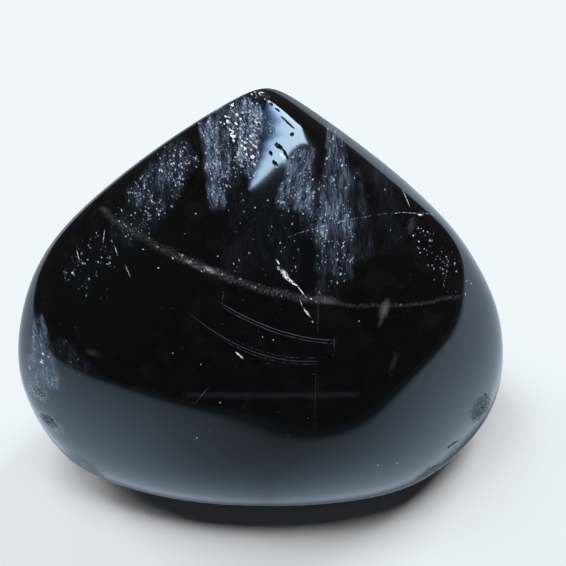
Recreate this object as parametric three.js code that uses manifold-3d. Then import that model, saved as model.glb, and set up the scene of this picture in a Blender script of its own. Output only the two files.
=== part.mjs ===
// Polished morion quartz point: one solid lump of near-black smoky quartz, ground by hand
// to a plump, leaning point and polished all over, with a small flat ground underneath
// for it to rest on.
//
// Millimetres, +Z up. The broad front face looks along -Y and upward, the point leans
// back along +Y. The origin is under the middle of the stone, on the surface it rests on.

import * as THREE from 'three';
import { mergeVertices } from 'three/addons/utils/BufferGeometryUtils.js';
import Module from 'manifold-3d';

// ---- driving dimensions ----

// Middle of the body. Every face's reach is measured from here.
const CENTRE = new THREE.Vector3(-0.2, -0.08, 13);

// The polished faces, each a broad and softly domed surface, in the order they are blended.
//   heading   which way the face looks, degrees round from +X towards +Y
//   tilt      how far it looks above the horizontal, degrees
//   reach     distance of the middle of the face from CENTRE
//   across    radius of its doming from side to side
//   upslope   radius of its doming from bottom to top
//   blend     width over which it runs into the faces listed before it
const FACES = {
  front: { heading: 280, tilt: 43, reach: 14.8, across: 48, upslope: 65, blend: 0 },
  belly: { heading: 278.5, tilt: -72, reach: 21.5, across: 150, upslope: 70, blend: 4 },
  leftFlank: { heading: 137.5, tilt: 3, reach: 22.7, across: 500, upslope: 56, blend: 5 },
  rightFlank: { heading: 5, tilt: 53.5, reach: 23.8, across: 125, upslope: 85, blend: 1.5 },
  leftShoulder: { heading: 187, tilt: -29, reach: 31.8, across: 65, upslope: 140, blend: 4 },
  rightShoulder: { heading: -17, tilt: 24, reach: 34.2, across: 300, upslope: 33, blend: 4.5 },
  back: { heading: 89, tilt: -26, reach: 16.6, across: 52, upslope: 500, blend: 10 },
};

// Low swells (rise above zero) and hollows (below zero) that hand polishing left.
// at is measured from CENTRE, spread is how wide each one runs out.
const SWELLS = [
  { name: 'left edge', at: [-27, 3.5, 10.5], spread: 7, rise: 0.9 },
  { name: 'right of the front face', at: [12, -5, 9], spread: 7, rise: 1.1 },
  { name: 'lower front', at: [-1.5, -17, -2.5], spread: 8, rise: -1.35 },
  { name: 'lower right', at: [15.5, -19.5, -8.5], spread: 3, rise: 0.5 },
  { name: 'below the point', at: [3.5, 5, 19], spread: 10.5, rise: -2.25 },
  { name: 'lower left', at: [-16.5, -13.5, -6], spread: 9, rise: -1.65 },
];

// Shallow chips, each an oval bowl sunk into the surface.
//   at      place of its middle, near the surface
//   toward  which way its long side runs
//   size    its length, width and depth
const CHIPS = [
  { name: 'broken tip', at: [-1.1, 14.7, 33.4], toward: [1, 0.4, 0], size: [2.2, 1.3, 0.35] },
  { name: 'nick under the tip', at: [0.9, 12.4, 33], toward: [1, 1, 0], size: [0.9, 0.5, 0.15] },
  { name: 'slanting nick', at: [2.3, 11.2, 32.3], toward: [1, -0.8, 0], size: [1.6, 0.45, 0.15] },
  { name: 'comma nick', at: [2.7, 9.8, 31.8], toward: [1, 0.3, 0], size: [0.8, 0.5, 0.15] },
  { name: 'angular chip', at: [1.7, 7.5, 31.1], toward: [1, -0.9, 0], size: [1.9, 0.8, 0.2] },
  { name: 'small chip beside it', at: [0.8, 6.7, 31], toward: [1, -1, 0], size: [0.8, 0.5, 0.15] },
  { name: 'right rim pit', at: [24.6, -8.3, 6.5], toward: [0, 1, 1], size: [3.2, 1.6, 0.15] },
  { name: 'right rim scrape', at: [21.2, -12.4, 4.7], toward: [1, 1, 0.5], size: [1.8, 0.6, 0.12] },
  { name: 'left rim dent', at: [-24.3, -11.9, 9], toward: [-1, 0.5, -0.2], size: [2.6, 1.1, 0.15] },
  { name: 'upper left rim dent', at: [-26.2, -9, 12], toward: [-1, 0.5, 0.2], size: [1.8, 0.6, 0.12] },
];

// Everything below the surface the stone rests on is ground away, by a block this big.
const GROUND_AWAY = { across: 100, deep: 40 };

// ---- fineness of the surface ----

const AROUND = 100;
const RINGS = 50;
const CHIP_SIDES = 12;
const CHIP_RINGS = 8;

// The surface is looked for out to FURTHEST from CENTRE, halving the gap HALVINGS times.
const FURTHEST = 60;
const HALVINGS = 40;

// Distance over which the slope of the surface is measured.
const SLOPE_STEP = 0.01;

// Vertices closer together than this are one.
const WELD = 1e-5;

// ---- the surface ----

function direction(heading, tilt) {
  const h = THREE.MathUtils.degToRad(heading);
  const t = THREE.MathUtils.degToRad(tilt);
  return new THREE.Vector3(Math.cos(t) * Math.cos(h), Math.cos(t) * Math.sin(h), Math.sin(t));
}

// Each face with its outward direction and the two directions its doming is measured in.
const faces = Object.values(FACES).map((face) => {
  const outward = direction(face.heading, face.tilt);
  const sideways = new THREE.Vector3(-outward.y, outward.x, 0).normalize();
  const upward = new THREE.Vector3().crossVectors(outward, sideways);
  return { ...face, outward, sideways, upward };
});

// The larger of two heights, with the crease between them rounded off.
function blended(a, b, width) {
  return 0.5 * (a + b + Math.hypot(a - b, width));
}

// Below zero inside the stone and above zero outside it, for q measured from CENTRE.
function height(q) {
  let value = -Infinity;
  for (const face of faces) {
    const s = q.dot(face.sideways);
    const u = q.dot(face.upward);
    const doming = (s * s) / (2 * face.across) + (u * u) / (2 * face.upslope);
    const over = q.dot(face.outward) - face.reach + doming;
    value = value === -Infinity ? over : blended(value, over, face.blend);
  }
  for (const swell of SWELLS) {
    const [x, y, z] = swell.at;
    const away = (q.x - x) ** 2 + (q.y - y) ** 2 + (q.z - z) ** 2;
    value -= swell.rise * Math.exp(-away / (2 * swell.spread ** 2));
  }
  return value;
}

// Carries a direction from CENTRE out to the surface.
function onSurface(towards) {
  const unit = towards.clone().normalize();
  let inside = 0;
  let outside = FURTHEST;
  for (let i = 0; i < HALVINGS; i += 1) {
    const middle = 0.5 * (inside + outside);
    if (height(unit.clone().multiplyScalar(middle)) < 0) inside = middle;
    else outside = middle;
  }
  return unit.multiplyScalar(inside).add(CENTRE);
}

function outwardAt(point) {
  const q = point.clone().sub(CENTRE);
  const slope = (axis) => {
    const ahead = q.clone();
    const behind = q.clone();
    ahead[axis] += SLOPE_STEP;
    behind[axis] -= SLOPE_STEP;
    return height(ahead) - height(behind);
  };
  return new THREE.Vector3(slope('x'), slope('y'), slope('z')).normalize();
}

// ---- joining and cutting ----

const wasm = await Module();
wasm.setup();

function toSolid(geometry) {
  const bare = geometry.clone();
  bare.deleteAttribute('normal');
  bare.deleteAttribute('uv');
  const merged = mergeVertices(bare, WELD);
  const mesh = new wasm.Mesh({
    numProp: 3,
    vertProperties: new Float32Array(merged.attributes.position.array),
    triVerts: new Uint32Array(merged.index.array),
  });
  mesh.merge();
  return new wasm.Manifold(mesh);
}

function toGeometry(solid) {
  const mesh = solid.getMesh();
  const geometry = new THREE.BufferGeometry();
  geometry.setAttribute('position', new THREE.BufferAttribute(new Float32Array(mesh.vertProperties), 3));
  geometry.setIndex(new THREE.BufferAttribute(new Uint32Array(mesh.triVerts), 1));
  geometry.computeVertexNormals();
  return geometry;
}

// A ball of level rings, every vertex carried out to the surface.
function roughStone() {
  const ball = new THREE.SphereGeometry(1, AROUND, RINGS);
  ball.rotateX(Math.PI / 2);
  const position = ball.attributes.position;
  const vertex = new THREE.Vector3();
  for (let i = 0; i < position.count; i += 1) {
    vertex.copy(onSurface(vertex.fromBufferAttribute(position, i)));
    position.setXYZ(i, vertex.x, vertex.y, vertex.z);
  }
  return ball;
}

function groundAway() {
  const block = new THREE.BoxGeometry(GROUND_AWAY.across, GROUND_AWAY.across, GROUND_AWAY.deep);
  block.translate(0, 0, -GROUND_AWAY.deep / 2);
  return block;
}

function chipBowl(chip) {
  const middle = onSurface(new THREE.Vector3(...chip.at).sub(CENTRE));
  const out = outwardAt(middle);
  const along = new THREE.Vector3(...chip.toward);
  along.addScaledVector(out, -along.dot(out)).normalize();
  const side = new THREE.Vector3().crossVectors(out, along);
  const bowl = new THREE.SphereGeometry(1, CHIP_SIDES, CHIP_RINGS);
  const [length, width, depth] = chip.size;
  bowl.scale(length / 2, depth, width / 2);
  const turned = new THREE.Matrix4().makeBasis(along, out, side.negate());
  turned.setPosition(middle);
  bowl.applyMatrix4(turned);
  return bowl;
}

let stone = toSolid(roughStone()).subtract(toSolid(groundAway()));
for (const chip of CHIPS) {
  stone = stone.subtract(toSolid(chipBowl(chip)));
}

const morion = new THREE.MeshStandardMaterial({ color: 0x0d0b0d, roughness: 0.06, metalness: 0 });

const piece = new THREE.Mesh(toGeometry(stone), morion);
piece.name = 'morion_point';

const part = new THREE.Group();
part.add(piece);

export default part;
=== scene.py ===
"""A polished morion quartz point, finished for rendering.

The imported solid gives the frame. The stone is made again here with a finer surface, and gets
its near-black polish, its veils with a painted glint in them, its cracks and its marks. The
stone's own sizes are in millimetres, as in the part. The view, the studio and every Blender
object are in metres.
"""

import math

import bmesh
import bpy
import numpy as np
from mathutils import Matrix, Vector


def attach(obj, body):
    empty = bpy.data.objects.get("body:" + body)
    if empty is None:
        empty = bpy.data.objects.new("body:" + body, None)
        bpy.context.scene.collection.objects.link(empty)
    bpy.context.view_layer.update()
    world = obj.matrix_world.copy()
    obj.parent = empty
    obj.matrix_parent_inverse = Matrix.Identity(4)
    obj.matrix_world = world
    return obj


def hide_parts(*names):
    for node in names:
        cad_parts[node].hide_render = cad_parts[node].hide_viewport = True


MM = 0.001

# ---- the form of the stone ----

# Middle of the body. Every face's reach is measured from here.
CENTRE = np.array([-0.2, -0.08, 13.0])

# The polished faces, in the order they are blended: which way each looks (degrees round from +X,
# degrees above level), how far its middle is from CENTRE, the radii of its doming from side to
# side and from bottom to top, and the width over which it runs into the faces before it.
FACES = {
    "front": dict(heading=280, tilt=43, reach=14.8, across=48, upslope=65, blend=0),
    "belly": dict(heading=278.5, tilt=-72, reach=21.5, across=150, upslope=70, blend=4),
    "left flank": dict(heading=137.5, tilt=3, reach=22.7, across=500, upslope=56, blend=5),
    "right flank": dict(heading=5, tilt=53.5, reach=23.8, across=125, upslope=85, blend=1.5),
    "left shoulder": dict(heading=187, tilt=-29, reach=31.8, across=65, upslope=140, blend=4),
    "right shoulder": dict(heading=-17, tilt=24, reach=34.2, across=300, upslope=33, blend=4.5),
    "back": dict(heading=89, tilt=-26, reach=16.6, across=52, upslope=500, blend=10),
}

# Low swells and hollows left by hand polishing, placed from CENTRE.
SWELLS = {
    "left edge": dict(at=(-27, 3.5, 10.5), spread=7, rise=0.9),
    "right of the front face": dict(at=(12, -5, 9), spread=7, rise=1.1),
    "lower front": dict(at=(-1.5, -17, -2.5), spread=8, rise=-1.35),
    "lower right": dict(at=(19.0, -18.5, -12.5), spread=6, rise=0.68),
    "below the point": dict(at=(3.5, 5, 19), spread=10.5, rise=-2.25),
    "lower left": dict(at=(-16.5, -13.5, -6), spread=9, rise=-1.65),
    "right edge": dict(at=(27, -6, -5), spread=6, rise=0.28),
    "upper right edge": dict(at=(20.5, 2.7, 9), spread=3.5, rise=0.32),
}

# Width over which the polish rounds the edge of the flat underneath.
BASE_EDGE = 0.8

# Chips sunk into the surface: place of the middle, way the long side runs, length, width, depth,
# and how ragged the outline is.
CHIPS = {
    "broken tip": dict(at=(-1.1, 14.7, 33.4), toward=(1, 0.4, 0), size=(2.0, 1.2, 0.2), ragged=1.4),
    "bubble": dict(at=(0.49, 13.1, 33.2), toward=(1, 1, 0), size=(0.42, 0.36, 0.12), ragged=0.2),
    "nick under the tip": dict(at=(1.2, 12.5, 32.9), toward=(1, -0.7, 0), size=(0.7, 0.2, 0.1), ragged=0.4),
    "slanting nick": dict(at=(2.3, 11.1, 32.3), toward=(1, -0.8, 0), size=(1.9, 0.22, 0.1), ragged=0.4),
    "comma nick": dict(at=(2.75, 9.75, 31.8), toward=(0.5, 1, 0), size=(0.55, 0.22, 0.1), ragged=0.4),
    "angular chip": dict(at=(1.3, 8.15, 31.5), toward=(1, -0.5, 0), size=(0.85, 0.38, 0.16), ragged=0.7),
    "edge of the chip": dict(at=(2.05, 7.35, 30.8), toward=(1, -1.9, 0), size=(1.3, 0.2, 0.12), ragged=0.5),
    "chip beside it": dict(at=(0.49, 7.34, 31.3), toward=(0.4, -1, 0), size=(0.45, 0.2, 0.1), ragged=0.5),
    "lower nick": dict(at=(1.0, 6.4, 31), toward=(1, -1.1, 0), size=(0.75, 0.18, 0.1), ragged=0.4),
}

# Shallow pitted patches on the rim, in the same terms.
PITS = {
    "right rim pit": dict(at=(24.6, -8.3, 6.5), toward=(0, 1, 1), size=(3.4, 2.2, 0.07), ragged=1.5),
    "right rim scrape": dict(at=(21.2, -12.4, 4.7), toward=(1, 1, 0.5), size=(1.9, 0.2, 0.12), ragged=0.6),
    "left rim dent": dict(at=(-24.3, -11.9, 9), toward=(-1, 0.5, -0.2), size=(2.8, 1.2, 0.06), ragged=1.5),
    "upper rim dent": dict(at=(-26.2, -9, 12), toward=(-1, 0.5, 0.2), size=(1.6, 0.5, 0.05), ragged=1.2),
}

# A chip lies wholly within CHIP_REACH of its middle, and its outline wobbles over about CRUMPLE.
CHIP_REACH = 4
CRUMPLE = 0.25

# The mesh: steps round and rings, gathered about the chipped ground below the point. There the
# rings lie FINE_END_SPACING times as far apart as they would if they were even.
STEPS_ROUND = 320
RINGS = 260
FINE_END = Vector((1.4, 10.6, 19.5))
FINE_END_SPACING = 0.15

# Distance over which the slope of the surface is measured.
SLOPE_STEP = 0.01

# ---- the view ----

# Place in metres, degrees below level, lens and width of the sensor as a camera gives them.
CAMERA_PLACE = Vector((0.00180, -0.06668, 0.09805))
CAMERA_BELOW_LEVEL = 50
LENS = 59.15
SENSOR = 36
CLIP_START = 0.005

# The brightest white, by channel. Tones keep their value up to KNEE of it, and are held from
# HELD_FROM up. AT_ONE is the share of it that a full tone gets.
PAPER_WHITE = (0.87, 0.93, 0.96)
KNEE = 0.7
AT_ONE = 0.93
HELD_FROM = 1.5

# ---- the surface ----


def direction(heading, tilt):
    h, t = math.radians(heading), math.radians(tilt)
    return np.array([math.cos(t) * math.cos(h), math.cos(t) * math.sin(h), math.sin(t)])


def blended(a, b, width):
    """The larger of two heights, with the crease between them rounded off."""
    return 0.5 * (a + b + np.hypot(a - b, width))


def unit(vector):
    return np.asarray(vector, float) / np.linalg.norm(vector)


def smooth_height(q):
    """Below zero inside the stone and above zero outside it, for points measured from CENTRE."""
    value = None
    for face in FACES.values():
        outward = direction(face["heading"], face["tilt"])
        sideways = unit([-outward[1], outward[0], 0])
        upward = np.cross(outward, sideways)
        doming = (q @ sideways) ** 2 / (2 * face["across"]) + (q @ upward) ** 2 / (2 * face["upslope"])
        over = q @ outward - face["reach"] + doming
        value = over if value is None else blended(value, over, face["blend"])
    for swell in SWELLS.values():
        away = ((q - np.array(swell["at"])) ** 2).sum(-1)
        value = value - swell["rise"] * np.exp(-away / (2 * swell["spread"] ** 2))
    return blended(value, -(q[..., 2] + CENTRE[2]), BASE_EDGE)


def outward_at(q):
    steps = SLOPE_STEP * np.eye(3)
    slopes = [smooth_height(q + step) - smooth_height(q - step) for step in steps]
    return unit(np.stack(slopes, -1))


def reach_surface(height, directions, furthest=60.0, halvings=34):
    """Carries unit directions from CENTRE out to where height turns positive."""
    inside = np.zeros(len(directions))
    outside = np.full(len(directions), furthest)
    for _ in range(halvings):
        middle = 0.5 * (inside + outside)
        within = height(directions * middle[:, None]) < 0
        inside = np.where(within, middle, inside)
        outside = np.where(within, outside, middle)
    return directions * inside[:, None]


def crumple(q, scale):
    """A smooth, irregular wobble between about -1 and 1."""
    a = np.sin(q @ np.array([1.7, 0.9, -1.3]) / scale + 1.3)
    b = np.sin(q @ np.array([-0.8, 2.1, 1.1]) / scale + 2.0 * a)
    return np.sin(q @ np.array([1.1, -1.6, 1.9]) / scale + 2.0 * b)


def chip_bowls():
    """Each chip as its middle, a matrix that measures it in its half sizes, raggedness and depth."""
    bowls = []
    for chip in list(CHIPS.values()) + list(PITS.values()):
        middle = reach_surface(smooth_height, unit(np.array(chip["at"]) - CENTRE)[None])[0]
        out = outward_at(middle[None])[0]
        along = np.array(chip["toward"], float)
        along = unit(along - out * (along @ out))
        side = np.cross(out, along)
        length, width, depth = chip["size"]
        measure = np.stack([along / (length / 2), side / (width / 2), out / depth])
        bowls.append((middle, measure, chip["ragged"], depth))
    return bowls


BOWLS = chip_bowls()


def chipped_height(q):
    value = smooth_height(q)
    for middle, measure, ragged, depth in BOWLS:
        away = q - middle
        near = (away ** 2).sum(-1) < CHIP_REACH ** 2
        if not near.any():
            continue
        local = away[near] @ measure.T
        wobble = 0.5 * ragged * crumple(away[near], CRUMPLE)
        hollow = 1 + wobble - np.sqrt((local ** 2).sum(-1))
        value[near] = np.maximum(value[near], hollow * depth)
    return value


def stone_mesh():
    """A ball with its poles at the fine end and opposite it, carried out to the surface."""
    bm = bmesh.new()
    bmesh.ops.create_uvsphere(bm, u_segments=STEPS_ROUND, v_segments=RINGS, radius=1.0)
    mesh = bpy.data.meshes.new("morion_stone")
    bm.to_mesh(mesh)
    bm.free()
    ball = np.empty(len(mesh.vertices) * 3)
    mesh.vertices.foreach_get("co", ball)
    ball = ball.reshape(-1, 3)
    share = np.arccos(np.clip(ball[:, 2], -1, 1)) / math.pi
    polar = math.pi * share * (FINE_END_SPACING + (1 - FINE_END_SPACING) * share ** 2)
    turn = np.arctan2(ball[:, 1], ball[:, 0])
    rays = np.stack([np.sin(polar) * np.cos(turn), np.sin(polar) * np.sin(turn), np.cos(polar)], -1)
    lean = np.array(Vector((0, 0, 1)).rotation_difference(FINE_END).to_matrix())
    surface = reach_surface(chipped_height, rays @ lean.T)
    mesh.vertices.foreach_set("co", ((surface + CENTRE) * MM).ravel())
    mesh.shade_smooth()
    mesh.update()
    return mesh


# ---- node helpers ----

def add(tree, kind, inputs=None, **settings):
    """Adds a node, sets its properties, and fills or links its inputs."""
    made = tree.nodes.new(kind)
    for name, value in settings.items():
        setattr(made, name, value)
    for key, value in (inputs or {}).items():
        if isinstance(value, bpy.types.NodeSocket):
            tree.links.new(value, made.inputs[key])
        else:
            made.inputs[key].default_value = value
    return made


def calc(tree, operation, *values, clamp=False):
    made = add(tree, "ShaderNodeMath", dict(enumerate(values)), operation=operation, use_clamp=clamp)
    return made.outputs[0]


def vector_calc(tree, operation, *values):
    made = add(tree, "ShaderNodeVectorMath", dict(enumerate(values)), operation=operation)
    return made.outputs["Value" if operation == "LENGTH" else "Vector"]


def part_of(tree, vector, axis):
    """One coordinate of a vector, or one channel of a colour."""
    picked = tuple(float(name == axis) for name in "XYZ")
    made = add(tree, "ShaderNodeVectorMath", {0: vector, 1: picked}, operation="DOT_PRODUCT")
    return made.outputs["Value"]


def ramp(tree, value, start, end, low=0.0, high=1.0):
    """Runs smoothly from low at start to high at end."""
    inputs = {"Value": value, "From Min": start, "From Max": end, "To Min": low, "To Max": high}
    return add(tree, "ShaderNodeMapRange", inputs, interpolation_type="SMOOTHSTEP").outputs["Result"]


def tint(tree, mask, under, over):
    """Mixes two colours by a mask."""
    inputs = {0: mask, 6: under, 7: over}
    return add(tree, "ShaderNodeMix", inputs, data_type="RGBA").outputs[2]


def lay(tree, colour, mask, front, over):
    """Lays a colour over those before it, on the side that faces the view."""
    return tint(tree, calc(tree, "MULTIPLY", mask, front), colour, over)


def blank_material(name):
    material = bpy.data.materials.new(name)
    material.use_nodes = True
    material.node_tree.nodes.clear()
    return material, material.node_tree


def new_group(name, inputs, outputs):
    group = bpy.data.node_groups.new(name, "ShaderNodeTree")
    for label, kind in inputs.items():
        group.interface.new_socket(label, in_out="INPUT", socket_type=kind)
    for label, kind in outputs.items():
        group.interface.new_socket(label, in_out="OUTPUT", socket_type=kind)
    return group, group.nodes.new("NodeGroupInput").outputs, group.nodes.new("NodeGroupOutput").inputs


def use(tree, group, inputs):
    return add(tree, "ShaderNodeGroup", inputs, node_tree=group).outputs


FLOAT = "NodeSocketFloat"
VECTOR = "NodeSocketVector"

# Where a strip's sides and ends start to show and where they are full, as shares of its half size.
STRIP_SIDES = (1.15, 0.6)
STRIP_ENDS = (1.12, 0.7)

# Just past 1, so that no speck shows where the crowd is 0.
NO_CROWD = 1.001

# The soft edge of a speck, as a share of its cell, and the strength of the faintest speck.
SPECK_EDGE = 0.2
FAINTEST_SPECK = 0.15

# Length over which an arc fades in and out, in millimetres.
ARC_FADE = 1.5


def set_aside(tree, place, centre, lean):
    """Measures place from centre, along and across a line that leans from upright, in radians."""
    away = vector_calc(tree, "SUBTRACT", place, centre)
    inputs = {"Vector": away, "Angle": lean}
    return add(tree, "ShaderNodeVectorRotate", inputs, rotation_type="Z_AXIS").outputs["Vector"]


def make_oval_group():
    """A soft-edged oval: 1 in its middle, 0 outside it."""
    sockets = {"Place": VECTOR, "Centre": VECTOR, "Lean": FLOAT, "Half Width": FLOAT,
               "Half Length": FLOAT, "Softness": FLOAT, "Shift": FLOAT}
    group, given, result = new_group("soft oval", sockets, {"Mask": FLOAT})
    local = set_aside(group, given["Place"], given["Centre"], given["Lean"])
    x = calc(group, "DIVIDE", part_of(group, local, "X"), given["Half Width"])
    y = calc(group, "DIVIDE", part_of(group, local, "Y"), given["Half Length"])
    flat = add(group, "ShaderNodeCombineXYZ", {"X": x, "Y": y}).outputs[0]
    edge = calc(group, "ADD", vector_calc(group, "LENGTH", flat), given["Shift"])
    inner = calc(group, "SUBTRACT", 1.0, given["Softness"])
    group.links.new(ramp(group, edge, 1.0, inner), result["Mask"])
    return group


def make_strip_group():
    """A strip with a width of its own at each end: 1 along its middle, 0 outside it."""
    sockets = {"Place": VECTOR, "Centre": VECTOR, "Lean": FLOAT, "Half Length": FLOAT,
               "Top Half": FLOAT, "Bottom Half": FLOAT, "Shift": FLOAT}
    group, given, result = new_group("tapered strip", sockets, {"Mask": FLOAT})
    local = set_aside(group, given["Place"], given["Centre"], given["Lean"])
    height = calc(group, "DIVIDE", part_of(group, local, "Y"), given["Half Length"])
    inputs = {"Value": height, "From Min": -1.0, "From Max": 1.0,
              "To Min": given["Bottom Half"], "To Max": given["Top Half"]}
    half = add(group, "ShaderNodeMapRange", inputs).outputs["Result"]
    offside = calc(group, "ABSOLUTE", calc(group, "DIVIDE", part_of(group, local, "X"), half))
    sides = ramp(group, calc(group, "ADD", offside, given["Shift"]), *STRIP_SIDES)
    endways = calc(group, "ADD", calc(group, "ABSOLUTE", height), given["Shift"])
    ends = ramp(group, endways, *STRIP_ENDS)
    group.links.new(calc(group, "MULTIPLY", sides, ends), result["Mask"])
    return group


def make_speck_group(name, dimensions):
    """Bright grains, one to a cell of a loose net. The fuller Crowd is, the more of them show."""
    sockets = {"Place": VECTOR, "Cells": VECTOR, "Crowd": FLOAT, "Widest": FLOAT, "Shift": FLOAT}
    group, given, result = new_group(name, sockets, {"Mask": FLOAT, "Lot": FLOAT})
    stretched = vector_calc(group, "MULTIPLY", given["Place"], given["Cells"])
    inputs = {"Vector": stretched, "Scale": 1.0, "Randomness": 1.0}
    cells = add(group, "ShaderNodeTexVoronoi", inputs, voronoi_dimensions=dimensions)
    lot = cells.outputs["Color"]
    fewest = calc(group, "SUBTRACT", NO_CROWD, given["Crowd"])
    share = ramp(group, part_of(group, lot, "X"), fewest, NO_CROWD)
    size = calc(group, "MULTIPLY", share, calc(group, "SUBTRACT", given["Widest"], given["Shift"]))
    inside = calc(group, "SUBTRACT", size, cells.outputs["Distance"])
    grain = ramp(group, inside, 0.0, SPECK_EDGE)
    strength = ramp(group, part_of(group, lot, "Y"), 0.0, 1.0, low=FAINTEST_SPECK)
    group.links.new(calc(group, "MULTIPLY", grain, strength), result["Mask"])
    group.links.new(part_of(group, lot, "Z"), result["Lot"])
    return group


def make_arc_group():
    """A band along an arc: v = level + slope u + bend u squared, from start to end."""
    sockets = {"Place": VECTOR, "Start": FLOAT, "End": FLOAT, "Level": FLOAT, "Slope": FLOAT,
               "Bend": FLOAT, "Half Width": FLOAT, "Shift": FLOAT}
    group, given, result = new_group("arc", sockets, {"Line": FLOAT})
    u, v = part_of(group, given["Place"], "X"), part_of(group, given["Place"], "Y")
    arc = calc(group, "ADD", calc(group, "MULTIPLY", given["Slope"], u), given["Level"])
    arc = calc(group, "ADD", arc, calc(group, "MULTIPLY", given["Bend"], calc(group, "MULTIPLY", u, u)))
    away = calc(group, "SUBTRACT", calc(group, "SUBTRACT", v, arc), given["Shift"])
    line = ramp(group, calc(group, "ABSOLUTE", away), given["Half Width"], 0.0)
    from_start = ramp(group, calc(group, "SUBTRACT", u, given["Start"]), 0.0, ARC_FADE)
    to_end = ramp(group, calc(group, "SUBTRACT", given["End"], u), 0.0, ARC_FADE)
    within = calc(group, "MULTIPLY", from_start, to_end)
    group.links.new(calc(group, "MULTIPLY", line, within), result["Line"])
    return group


OVAL = make_oval_group()
STRIP = make_strip_group()
FACE_SPECKS = make_speck_group("specks on the face", "2D")
DEEP_SPECKS = make_speck_group("specks all round", "3D")
ARC = make_arc_group()

# ---- the look of the stone ----

# Places on the front are measured in millimetres on a plane square to the view, from the stone's
# origin: u to the right, v up the slope. Leans are in degrees, positive to the left at the top.

# Veils of fine inclusions, by the way their grain leans. Their bluish haze and specks are partly the
# veils' own colour and partly a painted glint of the window's light, laid on the front only. Each
# patch is a strip: its two ends, the half width at each, and the strength of its haze and of its
# specks.
VEILS_AND_GLINTS = {
    "leaning left": dict(grain=19, patches=[
        dict(top=(-6.4, 29.6), bottom=(-4.9, 19.6), half=(0.9, 1.0), haze_and_glint=0.75, specks=0.60),
        dict(top=(-4.2, 32.0), bottom=(-3.8, 22.0), half=(2.7, 1.4), haze_and_glint=0.40, specks=0.60),
        dict(top=(-1.6, 32.0), bottom=(-2.0, 23.4), half=(1.7, 1.0), haze_and_glint=0.90, specks=0.80),
        dict(top=(-8.2, 26.6), bottom=(-13.0, 19.4), half=(1.9, 2.6), haze_and_glint=0.24, specks=0.50),
        dict(top=(-11.6, 20.6), bottom=(-15.4, 16.2), half=(2.2, 2.0), haze_and_glint=0.07, specks=0.25),
        dict(top=(-16.6, 16.6), bottom=(-20.6, 12.0), half=(2.2, 2.8), haze_and_glint=0.01, specks=0.15),
        dict(top=(-24.4, 9.0), bottom=(-24.4, 0.2), half=(0.5, 2.6), haze_and_glint=0.85, specks=0.22),
        dict(top=(-22.4, 6.0), bottom=(-19.4, 2.2), half=(0.8, 1.4), haze_and_glint=0.12, specks=0.14),
    ]),
    "upright": dict(grain=2, patches=[
        dict(top=(7.6, 29.2), bottom=(7.3, 16.5), half=(0.9, 2.2), haze_and_glint=0.54, specks=0.20),
        dict(top=(7.2, 20.5), bottom=(7.0, 12.4), half=(1.8, 2.1), haze_and_glint=0.28, specks=0.26),
        dict(top=(9.5, 24.5), bottom=(10.2, 14.2), half=(0.8, 1.4), haze_and_glint=0.11, specks=0.02),
        dict(top=(6.8, 13.6), bottom=(7.3, 10.4), half=(1.5, 0.9), haze_and_glint=0.02, specks=0.10),
        dict(top=(12.2, 26.2), bottom=(13.6, 15.4), half=(1.2, 1.4), haze_and_glint=0.04, specks=0.01),
        dict(top=(5.7, 12.6), bottom=(5.6, 9.4), half=(0.5, 0.6), haze_and_glint=0.10, specks=0.14),
    ]),
    "leaning right": dict(grain=-20, patches=[
        dict(top=(3.9, 26.8), bottom=(3.0, 19.6), half=(1.3, 2.2), haze_and_glint=0.74, specks=0.42),
        dict(top=(4.6, 22.8), bottom=(5.2, 16.6), half=(1.2, 1.6), haze_and_glint=0.18, specks=0.36),
        dict(top=(16.0, 17.8), bottom=(20.4, 12.6), half=(1.5, 1.8), haze_and_glint=0.0, specks=0.20),
        dict(top=(18.6, 14.2), bottom=(21.6, 10.2), half=(1.4, 1.4), haze_and_glint=0.0, specks=0.10),
        dict(top=(-0.6, 22.0), bottom=(-0.6, 12.5), half=(3.6, 4.6), haze_and_glint=0.04, specks=0.04),
    ]),
}

# Coarse pale crumbs: middle, lean, half sizes and strength.
CRUMBS = {
    "left of the point": dict(at=(-2.9, 27.8), lean=14, half=(1.7, 4.0), strength=0.50),
    "beside the window": dict(at=(-1.2, 27.4), lean=4, half=(0.8, 3.8), strength=0.7),
    "on the tip": dict(at=(-0.9, 32.8), lean=62, half=(0.7, 1.5), strength=1.0),
    "right of the window": dict(at=(4.9, 21.2), lean=-10, half=(0.8, 1.5), strength=0.4),
    "on the left edge": dict(at=(-24.3, 3.8), lean=25, half=(0.8, 2.0), strength=0.28),
}

# The seam, a granular band right across the face. All its stretches follow one arc.
SEAM_ARC = dict(level=11.25, slope=-0.28, bend=0.0116)
SEAM = {
    "left": dict(start=-17.5, end=-3.0, half_width=0.80, strength=0.22),
    "middle": dict(start=-9.5, end=5.6, half_width=0.62, strength=0.32),
    "right": dict(start=2.6, end=22.0, half_width=0.32, strength=0.24),
}

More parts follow.
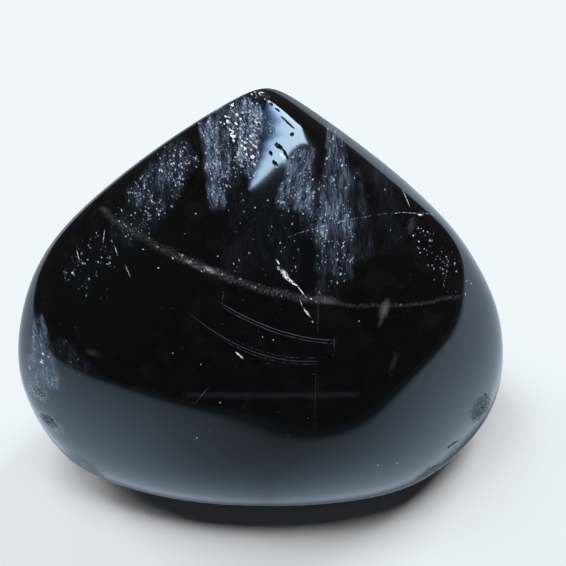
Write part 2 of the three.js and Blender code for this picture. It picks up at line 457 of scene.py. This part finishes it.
# Fine cracks and growth lines as arcs.
CRACKS = {
    "upper arc": dict(start=1.5, end=19.5, level=15.75, slope=0.433, bend=-0.0122, half_width=0.09,
                      wander=0.4, broken=0.9, strength=0.70),
    "upper hairline": dict(start=-5.2, end=7.6, level=7.57, slope=-0.397, bend=0.0252,
                           half_width=0.06, wander=0.1, broken=0.4, strength=0.16),
    "upper hairline's twin": dict(start=-4.8, end=7.6, level=7.25, slope=-0.397, bend=0.0252,
                                  half_width=0.06, wander=0.1, broken=0.6, strength=0.14),
    "lower hairline": dict(start=-8.2, end=5.9, level=4.45, slope=-0.293, bend=0.0345,
                           half_width=0.06, wander=0.1, broken=0.55, strength=0.13),
    "lower hairline's twin": dict(start=-5.0, end=5.9, level=4.15, slope=-0.293, bend=0.0345,
                                  half_width=0.06, wander=0.1, broken=0.7, strength=0.1),
    "lower hairline's third": dict(start=-3.6, end=6.2, level=4.8, slope=-0.293, bend=0.0345,
                                   half_width=0.06, wander=0.1, broken=0.75, strength=0.1),
    "low band": dict(start=-9, end=10.5, level=0.2, slope=0.0, bend=0.0, half_width=0.5,
                     wander=0.5, broken=0.3, strength=0.018),
}

# Short bright marks: middle, lean, length and width, strength, and how ragged the outline is.
MARKS = {
    "break's spur": dict(at=(1.28, 14.1), lean=32, size=(0.8, 0.20), strength=0.8, ragged=2.2),
    "break's shoulder": dict(at=(1.33, 13.45), lean=20, size=(0.5, 0.35), strength=0.6, ragged=2.6),
    "break's head": dict(at=(1.95, 12.95), lean=46, size=(1.3, 0.52), strength=0.8, ragged=3.4),
    "break's body": dict(at=(2.35, 12.35), lean=54, size=(1.8, 0.40), strength=1.0, ragged=2.8),
    "break's root": dict(at=(3.0, 11.8), lean=66, size=(0.9, 0.2), strength=0.9, ragged=1.6),
    "break's tail": dict(at=(3.65, 11.15), lean=38, size=(1.5, 0.14), strength=0.9, ragged=1.2),
    "break's thread": dict(at=(3.65, 9.95), lean=18, size=(1.3, 0.10), strength=0.5, ragged=1.0),
    "break's drop": dict(at=(4.25, 8.9), lean=38, size=(1.2, 0.26), strength=0.9, ragged=2.6),
    "break's last drop": dict(at=(4.83, 7.95), lean=45, size=(0.32, 0.2), strength=0.6, ragged=1.2),
    "bright facet": dict(at=(1.8, 25.4), lean=40, size=(1.2, 0.5), strength=0.4, ragged=0.6),
    "long speck": dict(at=(-2.7, 4.5), lean=48, size=(1.4, 0.22), strength=1.0, ragged=1.4),
    "seam bright left": dict(at=(-7.84, 14.1), lean=60, size=(0.9, 0.45), strength=0.16, ragged=3.0),
    "seam bright middle": dict(at=(-5.7, 13.3), lean=62, size=(1.7, 0.6), strength=0.2, ragged=3.2),
    "scratch 1": dict(at=(-16.8, 16.8), lean=-5, size=(1.6, 0.11), strength=0.45, ragged=1.2),
    "scratch 2": dict(at=(-19.6, 14.8), lean=18, size=(1.5, 0.11), strength=0.5, ragged=1.2),
    "scratch 3": dict(at=(-15.5, 15.4), lean=20, size=(1.2, 0.11), strength=0.45, ragged=1.2),
    "scratch 4": dict(at=(-14.2, 13.2), lean=25, size=(1.7, 0.10), strength=0.4, ragged=1.2),
    "left drop": dict(at=(-20.2, 13.0), lean=0, size=(0.36, 0.30), strength=0.9, ragged=1.2),
    "crossing line": dict(at=(15.3, 21.2), lean=18, size=(2.6, 0.10), strength=0.4, ragged=0.6),
    "bright dash": dict(at=(16.8, 19.4), lean=88, size=(0.8, 0.18), strength=1.0, ragged=1.0),
    "left tick": dict(at=(-4.35, 10.6), lean=-10, size=(1.7, 0.08), strength=0.07, ragged=0.8),
    "right tick": dict(at=(7.1, 5.6), lean=0, size=(1.9, 0.08), strength=0.09, ragged=0.8),
    "upright line": dict(at=(5.2, -0.4), lean=0, size=(9.0, 0.10), strength=0.025, ragged=0.8),
    "upper upright line": dict(at=(5.4, 8.4), lean=0, size=(4.0, 0.12), strength=0.025, ragged=0.8),
    "low scratch": dict(at=(-6.7, 0.2), lean=-40, size=(3.0, 0.09), strength=0.09, ragged=0.6),
}

# Faint cloudy patches: middle, lean, half sizes, strength, and how ragged the outline is.
CLOUDS = {
    "on the seam": dict(at=(6.2, 10.2), lean=82, half=(0.6, 1.8), strength=0.60, ragged=2.0),
    "wedge under the seam": dict(at=(12.4, 9.2), lean=-20, half=(0.70, 1.5), strength=0.95, ragged=0.6),
    "below the wedge": dict(at=(12.0, 7.9), lean=-25, half=(0.3, 0.9), strength=0.4, ragged=0.6),
    "below the seam": dict(at=(13.5, 3.5), lean=-20, half=(0.45, 1.6), strength=0.22, ragged=1.0),
    "dusty patch": dict(at=(15.6, 18.1), lean=-20, half=(0.7, 1.3), strength=0.22, ragged=2.0),
    "left oval": dict(at=(-18.3, 4.6), lean=78, half=(0.55, 1.2), strength=0.22, ragged=0.5),
    "left smear": dict(at=(-16.8, 19.6), lean=70, half=(0.4, 1.0), strength=0.22, ragged=1.2),
}

# Places where the polish is worn matt: middle, lean, half sizes and strength.
WORN = {
    "tip": dict(at=(-0.9, 32.8), lean=62, half=(0.55, 1.3), strength=0.5),
    "bruise under the tip": dict(at=(0.43, 28.5), lean=12, half=(0.5, 0.8), strength=0.06),
    "right rim": dict(at=(24.6, -2.3), lean=-35, half=(1.2, 1.9), strength=1.0),
    "right dash": dict(at=(21.1, -6.4), lean=-62, half=(0.14, 0.95), strength=1.0),
    "left rim": dict(at=(-24.2, -3.5), lean=60, half=(0.8, 1.9), strength=0.9),
    "upper left rim": dict(at=(-25.2, 0.0), lean=50, half=(0.7, 1.4), strength=0.8),
    "low left": dict(at=(-20.6, -8.4), lean=60, half=(1.0, 2.6), strength=0.35),
    "low right": dict(at=(18.6, -9.6), lean=-65, half=(0.8, 1.8), strength=0.35),
}

# Single bright grains on the dark face.
GRAINS = [
    (-0.3, 6.4), (0.8, 6.1), (-6.7, 3.5), (-9.6, 4.7), (1.5, 16.1), (-4.9, 14.7), (9.7, 8.0),
    (-4.8, -0.6), (-7.4, -4.6), (12.2, -8.0), (14.4, -7.9), (0.2, 20.6), (-1.1, 19.8), (-7.2, 19.1),
    (16.4, 16.4), (16.5, 15.2), (19.6, 14.8), (22.8, 11.9), (22.2, 12.2), (-17.0, 14.6),
    (-18.4, 12.4), (-11.0, 13.5), (-12.6, 15.4), (3.9, 19.2), (5.4, 17.4),
]
GRAIN_HALF = 0.10

# Sides of the cells in each net of specks, one speck to a cell.
SMALL_NET = (0.13, 0.22, 1.0)
LARGE_NET = (0.25, 0.42, 1.0)
CRUMB_NET = (0.22, 0.28, 1.0)
DUST_NET = (0.26, 0.26, 0.34)

# The polish: its roughness where it is whole and where it is worn, the depth of the worn pits in
# millimetres, and what quartz does to light.
WHOLE_ROUGHNESS, WORN_ROUGHNESS = 0.04, 0.30
PIT_DEPTH = 0.7
QUARTZ_IOR = 1.54
SPECULAR_TINT = (0.82, 0.93, 1.0, 1.0)

# Heights, above a plane through the origin that is square to the view, between which the surface
# comes to belong to the front.
FRONT_START, FRONT_END = 5.0, 8.0

DEEP = (0.0007, 0.0007, 0.0008, 1)
WARM = (0.0026, 0.0021, 0.0022, 1)
GREENISH = (0.0011, 0.0013, 0.0012, 1)
# The haze and specks of the veils: partly the inclusions' own colour, partly a painted glint of light. The
# specks' white also colours dust, and their blue the cracks.
HAZE_AND_GLINT_BLUE = (0.085, 0.125, 0.200, 1)
SPECK_AND_GLINT_BLUE = (0.34, 0.42, 0.56, 1)
SPECK_AND_GLINT_WHITE = (0.62, 0.66, 0.70, 1)
CRUMB_WHITE = (0.74, 0.80, 0.84, 1)
CRUMB_BEIGE = (0.68, 0.65, 0.57, 1)
BREAK_WHITE = (0.80, 0.90, 0.98, 1)
SEAM_GREY = (0.082, 0.074, 0.090, 1)
CLOUD_GREY = (0.075, 0.085, 0.082, 1)


def noise(tree, place, scale, detail=3.0, roughness=0.5):
    inputs = {"Vector": place, "Scale": scale, "Detail": detail, "Roughness": roughness}
    return add(tree, "ShaderNodeTexNoise", inputs).outputs["Fac"]


def swing(tree, fac, width):
    """Turns a noise into a shift of up to half of width either way."""
    return calc(tree, "MULTIPLY", calc(tree, "SUBTRACT", fac, 0.5), width)


def places(tree):
    """Places in millimetres, in the body and on the view's plane, and a mask of the front."""
    where = add(tree, "ShaderNodeTexCoord").outputs["Object"]
    body = add(tree, "ShaderNodeMapping", {"Vector": where, "Scale": (1 / MM,) * 3}).outputs[0]
    turn = (math.radians(CAMERA_BELOW_LEVEL - 90), 0, 0)
    turned = add(tree, "ShaderNodeMapping", {"Vector": body, "Rotation": turn}).outputs[0]
    front = ramp(tree, part_of(tree, turned, "Z"), FRONT_START, FRONT_END)
    return body, vector_calc(tree, "MULTIPLY", turned, (1.0, 1.0, 0.0)), front


def pile(tree, total, mask, strength=1.0):
    """Adds a mask to those before it, no further than 1."""
    if strength != 1.0:
        mask = calc(tree, "MULTIPLY", mask, strength)
    return mask if total is None else calc(tree, "ADD", total, mask, clamp=True)


def ovals(tree, place, spots, wobble, softness, ragged=1.0):
    """A mask of many ovals with their outlines shaken by one noise."""
    total = None
    for spot in spots:
        oval = use(tree, OVAL, {
            "Place": place, "Centre": (*spot["at"], 0), "Lean": -math.radians(spot["lean"]),
            "Half Width": spot["half"][0], "Half Length": spot["half"][1], "Softness": softness,
            "Shift": swing(tree, wobble, spot.get("ragged", ragged)),
        })
        total = pile(tree, total, oval["Mask"], spot["strength"])
    return total


def specks(tree, group, place, cell, crowd, shift, widest):
    """Specks in a net, and the lot that each one draws."""
    cells = tuple(1 / side for side in cell)
    inputs = {"Place": place, "Cells": cells, "Crowd": crowd, "Widest": widest, "Shift": shift}
    return use(tree, group, inputs)


def along_grain(tree, place, grain, stretch):
    """Places turned so that the grain runs along Y, and squeezed along it."""
    inputs = {"Vector": place, "Angle": -math.radians(grain)}
    turned = add(tree, "ShaderNodeVectorRotate", inputs, rotation_type="Z_AXIS").outputs["Vector"]
    return vector_calc(tree, "MULTIPLY", turned, (1.0, stretch, 1.0))


def speck_places(tree, place):
    """Places for the specks' nets: torn a little, and leaning as the veils lean on either side."""
    tear = add(tree, "ShaderNodeTexNoise", {"Vector": place, "Scale": 6.0, "Detail": 1.0})
    tear = vector_calc(tree, "MULTIPLY", tear.outputs["Color"], (0.26, 0.26, 0.0))
    torn = vector_calc(tree, "ADD", place, tear)
    slant = ramp(tree, part_of(tree, place, "X"), -1.0, 4.0, low=0.34, high=-0.12)
    aside = calc(tree, "MULTIPLY", slant, calc(tree, "SUBTRACT", part_of(tree, place, "Y"), 20.0))
    sheared = add(tree, "ShaderNodeCombineXYZ", {"X": aside}).outputs[0]
    return vector_calc(tree, "ADD", torn, sheared)


def face_veils_and_glints(tree, place):
    """The veils' haze on the front face and how crowded their specks are, partly painted glint."""
    shift = noise(tree, place, scale=0.5, detail=4.0, roughness=0.6)
    shift = swing(tree, shift, width=0.9)
    upright = along_grain(tree, place, grain=0, stretch=0.2)
    broad = ramp(tree, noise(tree, upright, scale=1.6, detail=2.0), 0.38, 0.62, low=0.3)
    haze_and_glint, crowd = None, None
    for family in VEILS_AND_GLINTS.values():
        fog = None
        for patch in family["patches"]:
            top, bottom = np.array(patch["top"]), np.array(patch["bottom"])
            run = top - bottom
            strip = use(tree, STRIP, {
                "Place": place, "Centre": (*(top + bottom) / 2, 0),
                "Lean": math.atan2(run[0], run[1]), "Half Length": np.linalg.norm(run) / 2,
                "Top Half": patch["half"][0], "Bottom Half": patch["half"][1], "Shift": shift,
            })["Mask"]
            fog = pile(tree, fog, strip, patch["haze_and_glint"])
            crowd = pile(tree, crowd, strip, patch["specks"])
        streaked = along_grain(tree, place, family["grain"], stretch=0.13)
        streak = noise(tree, streaked, scale=6.0, roughness=0.65)
        streak = ramp(tree, streak, 0.36, 0.68, low=0.12)
        haze_and_glint = pile(tree, haze_and_glint, calc(tree, "MULTIPLY", fog, streak))
    return calc(tree, "MULTIPLY", haze_and_glint, broad), calc(tree, "MULTIPLY", crowd, broad)


def seam(tree, place, wander):
    band = None
    for stretch in SEAM.values():
        line = use(tree, ARC, {
            "Place": place, "Start": stretch["start"], "End": stretch["end"],
            "Level": SEAM_ARC["level"], "Slope": SEAM_ARC["slope"], "Bend": SEAM_ARC["bend"],
            "Half Width": stretch["half_width"], "Shift": swing(tree, wander, width=0.8),
        })["Line"]
        band = pile(tree, band, line, stretch["strength"])
    return band


def cracks(tree, place, wander):
    gaps = noise(tree, place, scale=3.0, roughness=0.7)
    lines = None
    for crack in CRACKS.values():
        line = use(tree, ARC, {
            "Place": place, "Start": crack["start"], "End": crack["end"], "Level": crack["level"],
            "Slope": crack["slope"], "Bend": crack["bend"], "Half Width": crack["half_width"],
            "Shift": swing(tree, wander, crack["wander"]),
        })["Line"]
        low = 0.55 * crack["broken"]
        kept = calc(tree, "MULTIPLY", line, ramp(tree, gaps, low, low + 0.2))
        lines = pile(tree, lines, kept, crack["strength"])
    return lines


def single_grains(tree, place, shift):
    """Small bright dots at set places."""
    nearest = None
    for at in GRAINS:
        away = vector_calc(tree, "LENGTH", vector_calc(tree, "SUBTRACT", place, (*at, 0)))
        nearest = away if nearest is None else calc(tree, "MINIMUM", nearest, away)
    return ramp(tree, calc(tree, "ADD", nearest, shift), GRAIN_HALF, 0.0)


def deep_veils(tree, body, front, shift):
    """Veils on the sides and the back, and thin dust everywhere."""
    cloud = ramp(tree, noise(tree, body, scale=0.10, detail=2.0), 0.50, 0.64)
    cloud = calc(tree, "MULTIPLY", cloud, calc(tree, "SUBTRACT", 1.0, front))
    streaked = vector_calc(tree, "MULTIPLY", body, (1.0, 1.0, 0.16))
    streak = ramp(tree, noise(tree, streaked, scale=1.8, roughness=0.65), 0.42, 0.64)
    fog = calc(tree, "MULTIPLY", cloud, calc(tree, "MULTIPLY", streak, 0.5))
    crowd = calc(tree, "ADD", calc(tree, "MULTIPLY", fog, 0.5), 0.07)
    widest = ramp(tree, fog, 0.0, 0.1, low=0.26, high=0.42)
    dust = specks(tree, DEEP_SPECKS, body, DUST_NET, crowd, shift, widest)["Mask"]
    strength = ramp(tree, fog, 0.0, 0.2, low=0.14, high=0.8)
    return fog, calc(tree, "MULTIPLY", dust, strength)


def dark_ground(tree, body):
    """Near-black, with warm blotches and a broad greenish cast here and there."""
    blotches = noise(tree, body, scale=0.35, detail=5.0, roughness=0.7)
    colour = tint(tree, ramp(tree, blotches, 0.45, 0.65), DEEP, WARM)
    cast = noise(tree, body, scale=0.06, detail=1.0)
    return tint(tree, ramp(tree, cast, 0.48, 0.62), colour, GREENISH)


def lay_clouds(tree, colour, place, front, fray, crumbly):
    dim = ovals(tree, place, CLOUDS.values(), fray, softness=1.0)
    dim = calc(tree, "MULTIPLY", dim, ramp(tree, crumbly, -0.15, 0.1, low=0.45))
    return lay(tree, colour, dim, front, CLOUD_GREY)


def lay_veils_and_glints(tree, colour, place, netted, front, fray, wander, crumbly):
    """The veils, partly painted glint, and the seam, and the specks that crowd in both."""
    haze_and_glint, crowd = face_veils_and_glints(tree, place)
    # The veils' haze, partly their own bluish colour and partly a painted glint.
    colour = lay(tree, colour, haze_and_glint, front, HAZE_AND_GLINT_BLUE)
    band = ramp(tree, fray, 0.36, 0.62, low=0.12)
    band = calc(tree, "MULTIPLY", seam(tree, place, wander), band)
    band = calc(tree, "MULTIPLY", band, front)
    colour = tint(tree, band, colour, SEAM_GREY)
    crowd = calc(tree, "MULTIPLY", crowd, front)
    crowd = calc(tree, "MAXIMUM", crowd, calc(tree, "MULTIPLY", band, 0.5))
    small = specks(tree, FACE_SPECKS, netted, SMALL_NET, crowd, crumbly, widest=0.55)["Mask"]
    fewer = calc(tree, "MULTIPLY", crowd, 0.6)
    large = specks(tree, FACE_SPECKS, netted, LARGE_NET, fewer, crumbly, widest=0.38)["Mask"]
    grains = calc(tree, "MAXIMUM", calc(tree, "MULTIPLY", small, 0.6), large)
    # Specks partly their own pale colour, partly a painted glint: white in the seam, blue elsewhere.
    speck_and_glint_colour = tint(tree, calc(tree, "MULTIPLY", band, 2.0), SPECK_AND_GLINT_BLUE, SPECK_AND_GLINT_WHITE)
    return tint(tree, grains, colour, speck_and_glint_colour)


def lay_crumbs(tree, colour, place, netted, front, fray, crumbly):
    heap = ovals(tree, place, CRUMBS.values(), fray, softness=0.9)
    crumbs = specks(tree, FACE_SPECKS, netted, CRUMB_NET, heap, crumbly, widest=0.80)
    crumb_colour = tint(tree, ramp(tree, crumbs["Lot"], 0.55, 0.95), CRUMB_WHITE, CRUMB_BEIGE)
    return lay(tree, colour, crumbs["Mask"], front, crumb_colour)


def lay_marks(tree, colour, place, front, fray, wander, crumbly):
    """The fine cracks, the short bright marks and the single grains."""
    colour = lay(tree, colour, cracks(tree, place, wander), front, SPECK_AND_GLINT_BLUE)
    marks = [dict(mark, half=(mark["size"][1] / 2, mark["size"][0] / 2)) for mark in MARKS.values()]
    bright = ovals(tree, place, marks, fray, softness=0.5)
    bright = calc(tree, "MULTIPLY", bright, ramp(tree, fray, 0.44, 0.53, low=0.12))
    dots = single_grains(tree, place, calc(tree, "MULTIPLY", crumbly, 0.1))
    bright = pile(tree, bright, dots, 0.6)
    return lay(tree, colour, bright, front, BREAK_WHITE)


def make_morion():
    material, tree = blank_material("morion")
    body, place, front = places(tree)
    fray = noise(tree, place, scale=4.0, roughness=0.6)
    wander = noise(tree, place, scale=0.5, detail=2.0)
    crumbly = swing(tree, noise(tree, body, scale=9.0, detail=1.0), width=0.9)

    colour = dark_ground(tree, body)
    fog, dust = deep_veils(tree, body, front, crumbly)
    colour = tint(tree, fog, colour, HAZE_AND_GLINT_BLUE)
    colour = tint(tree, dust, colour, SPECK_AND_GLINT_WHITE)
    colour = lay_clouds(tree, colour, place, front, fray, crumbly)
    netted = speck_places(tree, place)
    colour = lay_veils_and_glints(tree, colour, place, netted, front, fray, wander, crumbly)
    colour = lay_crumbs(tree, colour, place, netted, front, fray, crumbly)
    colour = lay_marks(tree, colour, place, front, fray, wander, crumbly)

    worn = ovals(tree, place, WORN.values(), fray, softness=0.8, ragged=2.4)
    worn = calc(tree, "MULTIPLY", worn, front)
    pitted = calc(tree, "MULTIPLY", noise(tree, place, scale=4.5, detail=1.0), worn)
    bump = add(tree, "ShaderNodeBump", {"Distance": PIT_DEPTH * MM, "Height": pitted})
    roughness = ramp(tree, worn, 0.0, 1.0, low=WHOLE_ROUGHNESS, high=WORN_ROUGHNESS)
    shader = add(tree, "ShaderNodeBsdfPrincipled", {
        "Base Color": colour, "Roughness": roughness, "IOR": QUARTZ_IOR,
        "Specular Tint": SPECULAR_TINT, "Normal": bump.outputs["Normal"],
    })
    out = add(tree, "ShaderNodeOutputMaterial")
    tree.links.new(shader.outputs[0], out.inputs["Surface"])
    return material


# ---- the studio ----

FLOOR_SIZE = 3.0
FLOOR_COLOUR = (0.50, 0.52, 0.54, 1)

# The plain backdrop, and the distances over which the floor runs out into it, in metres.
BACKDROP = (1.1, 1.15, 1.2, 1)
RUN_OUT_START, RUN_OUT_END = 0.2, 0.7

# How the floor looks in the polish, a painted reflection: glossy rays see the floor glow rather
# than be lit, bright in front near the stone and dimmer behind it, brighter to the sides, and dark
# beyond arm's length. Distances are from the origin, and closer in than NEAREST the floor is as
# bright as there. BEHIND gives how far back, as a share of the distance, the front's brightness
# starts to give way to the back's, and has given way.
FLOOR_TINT = (0.80, 1.0, 1.23, 1)
NEAREST = 0.024
BEHIND_START, BEHIND_END = -0.9, 0.26
FRONT_LEVEL = 0.46
FRONT_NEAR_GAIN = 0.055
FRONT_MIDDLE = 0.67
LEFT_GAIN = 0.70
RIGHT_GAIN = 0.80
BACK_LEVEL = 0.24
BACK_SIDE_GAIN = 0.83
FAR_LEVEL = 0.10
FAR_START, FAR_END = 0.28, 0.60
# Close round the foot the floor's glow is dark, a painted shadow in the reflection: how much longer
# than deep that ground is, how square its corners are, and the depths between which it lights up.
FOOT_STRETCH = 1.5
FOOT_SQUARENESS = 2.5
FOOT_START, FOOT_END = 0.0190, 0.0228
FOOT_LEVEL = 0.12

# The bright window in the polish below the point: an opening overhead, seen only as a reflection.
# Its outline is given in millimetres, right and back of the stone's origin, in pairs that run from
# its lower tip to its top, left side then right side.
WINDOW_HEIGHT = 250
WINDOW_PAIRS = [
    ((52, -18), (52.5, -18)),
    ((55, -12), (58, -13)),
    ((57.5, -5.5), (66, -5)),
    ((59.5, 1.5), (73, 2.5)),
    ((60.5, 8.5), (80, 9)),
    ((60.5, 18.5), (88.5, 22.5)),
    ((59, 40), (133.5, 90.5)),
    ((60.5, 108), (208, 247)),
    ((88.5, 242.5), (198, 282)),
    ((113, 304), (128, 305)),
]
WINDOW_STRENGTH = 17
WINDOW_DIM_SHARE = 0.06
WINDOW_LEFT_COLOUR = (0.25, 0.42, 0.85, 1)
WINDOW_RIGHT_COLOUR = (0.64, 0.85, 1.05, 1)

# The room: the light it gives the stone and the floor, and how it shows in the polish.
ROOM_LIGHT = (0.035, 0.033, 0.033, 1)
ROOM_IN_POLISH = (0.055, 0.050, 0.054, 1)

# Soft lamps: place, width and height, power, and whether they light the stone alone.
LAMPS = {
    "front fill": dict(place=(-0.05, -0.45, 0.60), size=(0.80, 0.60), power=4.0, stone_only=True),
    "low left light": dict(place=(-0.55, 0.32, 0.30), size=(0.34, 0.24), power=5.5),
    "high left light": dict(place=(-0.26, 0.31, 0.57), size=(0.34, 0.24), power=4.9),
    "high back light": dict(place=(0.0, 0.25, 0.66), size=(0.34, 0.24), power=2.0),
    "low right light": dict(place=(0.41, 0.49, 0.30), size=(0.34, 0.24), power=10.8),
}


def stage_object(name, bm, material):
    """Stands a piece of the studio in the scene, and gives it back."""
    mesh = bpy.data.meshes.new(name)
    bm.to_mesh(mesh)
    bm.free()
    thing = bpy.data.objects.new(name, mesh)
    bpy.context.collection.objects.link(thing)
    mesh.materials.append(material)
    return thing


def floor_glow(tree):
    """The floor's painted glow in the polish at each place, with painted shade by the foot."""
    where = add(tree, "ShaderNodeTexCoord").outputs["Object"]
    right, back = part_of(tree, where, "X"), part_of(tree, where, "Y")
    away = calc(tree, "MAXIMUM", vector_calc(tree, "LENGTH", where), NEAREST)
    across, behind = calc(tree, "DIVIDE", right, away), calc(tree, "DIVIDE", back, away)
    level = calc(tree, "ADD", calc(tree, "DIVIDE", FRONT_NEAR_GAIN, away), FRONT_LEVEL)
    sides = calc(tree, "MAXIMUM", calc(tree, "MULTIPLY", across, RIGHT_GAIN),
                 calc(tree, "MULTIPLY", across, -LEFT_GAIN))
    level = calc(tree, "MULTIPLY", level, calc(tree, "ADD", sides, FRONT_MIDDLE))
    level_behind = calc(tree, "MULTIPLY", calc(tree, "ABSOLUTE", across), BACK_SIDE_GAIN)
    level_behind = calc(tree, "ADD", level_behind, BACK_LEVEL)
    share = ramp(tree, behind, BEHIND_START, BEHIND_END)
    level = calc(tree, "MULTIPLY", level, calc(tree, "SUBTRACT", 1.0, share))
    level = calc(tree, "ADD", level, calc(tree, "MULTIPLY", level_behind, share))
    far = ramp(tree, away, FAR_START, FAR_END)
    level = calc(tree, "MULTIPLY", level, calc(tree, "SUBTRACT", 1.0, far))
    level = calc(tree, "ADD", level, calc(tree, "MULTIPLY", far, FAR_LEVEL))
    long = calc(tree, "ABSOLUTE", calc(tree, "DIVIDE", right, FOOT_STRETCH))
    long = calc(tree, "POWER", long, FOOT_SQUARENESS)
    deep = calc(tree, "POWER", calc(tree, "ABSOLUTE", back), FOOT_SQUARENESS)
    from_foot = calc(tree, "POWER", calc(tree, "ADD", long, deep), 1 / FOOT_SQUARENESS)
    return calc(tree, "MULTIPLY", level, ramp(tree, from_foot, FOOT_START, FOOT_END, low=FOOT_LEVEL))


def make_floor():
    bm = bmesh.new()
    bmesh.ops.create_grid(bm, x_segments=1, y_segments=1, size=FLOOR_SIZE / 2)
    material, tree = blank_material("pale floor")
    matt = add(tree, "ShaderNodeBsdfDiffuse", {"Color": FLOOR_COLOUR, "Roughness": 0.0})
    # Glossy rays see a painted reflection: the floor glows there instead of being lit.
    mirrored = add(tree, "ShaderNodeEmission", {"Color": FLOOR_TINT, "Strength": floor_glow(tree)})
    far_off = add(tree, "ShaderNodeEmission", {"Color": BACKDROP, "Strength": 1.0})
    path = add(tree, "ShaderNodeLightPath").outputs
    where = add(tree, "ShaderNodeTexCoord").outputs["Object"]
    run_out = ramp(tree, vector_calc(tree, "LENGTH", where), RUN_OUT_START, RUN_OUT_END)
    run_out = calc(tree, "MULTIPLY", run_out, path["Is Camera Ray"])
    direct = add(tree, "ShaderNodeMixShader", {0: run_out, 1: matt.outputs[0], 2: far_off.outputs[0]})
    shaders = {0: path["Is Glossy Ray"], 1: direct.outputs[0], 2: mirrored.outputs[0]}
    seen = add(tree, "ShaderNodeMixShader", shaders)
    out = add(tree, "ShaderNodeOutputMaterial")
    tree.links.new(seen.outputs[0], out.inputs["Surface"])
    stage_object("floor", bm, material)


def make_window():
    bm = bmesh.new()
    bm.loops.layers.uv.new("across")
    bmesh.ops.create_grid(bm, x_segments=len(WINDOW_PAIRS) - 1, y_segments=1, size=0.5, calc_uvs=True)
    columns = sorted({round(vert.co.x, 4) for vert in bm.verts})
    for vert in bm.verts:
        left, right = WINDOW_PAIRS[columns.index(round(vert.co.x, 4))]
        x, y = right if vert.co.y > 0 else left
        vert.co = Vector((x, y, WINDOW_HEIGHT)) * MM
    material, tree = blank_material("window light")
    unrolled = add(tree, "ShaderNodeUVMap").outputs[0]
    across = add(tree, "ShaderNodeSeparateXYZ", {0: unrolled}).outputs["Y"]
    colour = tint(tree, ramp(tree, across, 0.0, 0.7), WINDOW_LEFT_COLOUR, WINDOW_RIGHT_COLOUR)
    dimmest = WINDOW_DIM_SHARE * WINDOW_STRENGTH
    power = ramp(tree, across, 0.0, 0.5, low=dimmest, high=WINDOW_STRENGTH)
    glow = add(tree, "ShaderNodeEmission", {"Color": colour, "Strength": power})
    out = add(tree, "ShaderNodeOutputMaterial")
    tree.links.new(glow.outputs[0], out.inputs["Surface"])
    panel = stage_object("window_panel", bm, material)
    panel.visible_camera = panel.visible_diffuse = panel.visible_shadow = False


def make_lamps(lit_alone):
    """Soft lamps that aim at the stone and don't show in its polish."""
    for name, lamp in LAMPS.items():
        light = bpy.data.lights.new(name, "AREA")
        light.shape = "RECTANGLE"
        light.size, light.size_y = lamp["size"]
        light.energy = lamp["power"]
        stand = bpy.data.objects.new(name, light)
        stand.location = lamp["place"]
        stand.rotation_euler = (-Vector(lamp["place"])).to_track_quat("-Z", "Y").to_euler()
        stand.visible_glossy = False
        bpy.context.collection.objects.link(stand)
        if lamp.get("stone_only"):
            stand.light_linking.receiver_collection = lit_alone


def make_world():
    world = bpy.data.worlds.new("studio")
    bpy.context.scene.world = world
    world.use_nodes = True
    tree = world.node_tree
    tree.nodes.clear()
    path = add(tree, "ShaderNodeLightPath").outputs
    colour = tint(tree, path["Is Glossy Ray"], ROOM_LIGHT, ROOM_IN_POLISH)
    colour = tint(tree, path["Is Camera Ray"], colour, BACKDROP)
    sky = add(tree, "ShaderNodeBackground", {"Color": colour, "Strength": 1.0})
    out = add(tree, "ShaderNodeOutputWorld")
    tree.links.new(sky.outputs[0], out.inputs["Surface"])


def make_camera():
    data = bpy.data.cameras.new("camera")
    data.lens = LENS
    data.sensor_width = SENSOR
    data.sensor_fit = "HORIZONTAL"
    data.clip_start = CLIP_START
    camera = bpy.data.objects.new("camera", data)
    camera.location = CAMERA_PLACE
    camera.rotation_euler = (math.radians(90 - CAMERA_BELOW_LEVEL), 0, 0)
    bpy.context.collection.objects.link(camera)
    bpy.context.scene.camera = camera


def set_picture():
    """Paper white stays just short of full white, and anything brighter is held there."""
    view = bpy.context.scene.view_settings
    view.view_transform = "Standard"
    view.use_curve_mapping = True
    curves = view.curve_mapping
    curves.use_clip = False
    curves.extend = "HORIZONTAL"
    for curve, white in zip(curves.curves, PAPER_WHITE):
        curve.points.new(KNEE * white, KNEE * white)
        curve.points[-1].location = (1.0, AT_ONE * white)
        curve.points.new(HELD_FROM, white)
    curves.update()


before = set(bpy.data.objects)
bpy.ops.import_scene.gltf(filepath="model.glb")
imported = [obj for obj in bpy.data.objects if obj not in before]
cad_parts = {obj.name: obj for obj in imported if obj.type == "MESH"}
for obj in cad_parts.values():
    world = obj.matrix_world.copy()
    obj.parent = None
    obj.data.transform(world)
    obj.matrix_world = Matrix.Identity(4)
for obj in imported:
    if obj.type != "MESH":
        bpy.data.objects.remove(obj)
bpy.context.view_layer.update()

make_camera()
make_world()
make_floor()
make_window()
set_picture()

stone = bpy.data.objects.new("morion_stone", stone_mesh())
bpy.context.collection.objects.link(stone)
stone.data.materials.append(make_morion())
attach(stone, "root")
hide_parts("morion_point")

lit_alone = bpy.data.collections.new("lit by the front fill")
lit_alone.objects.link(stone)
make_lamps(lit_alone)
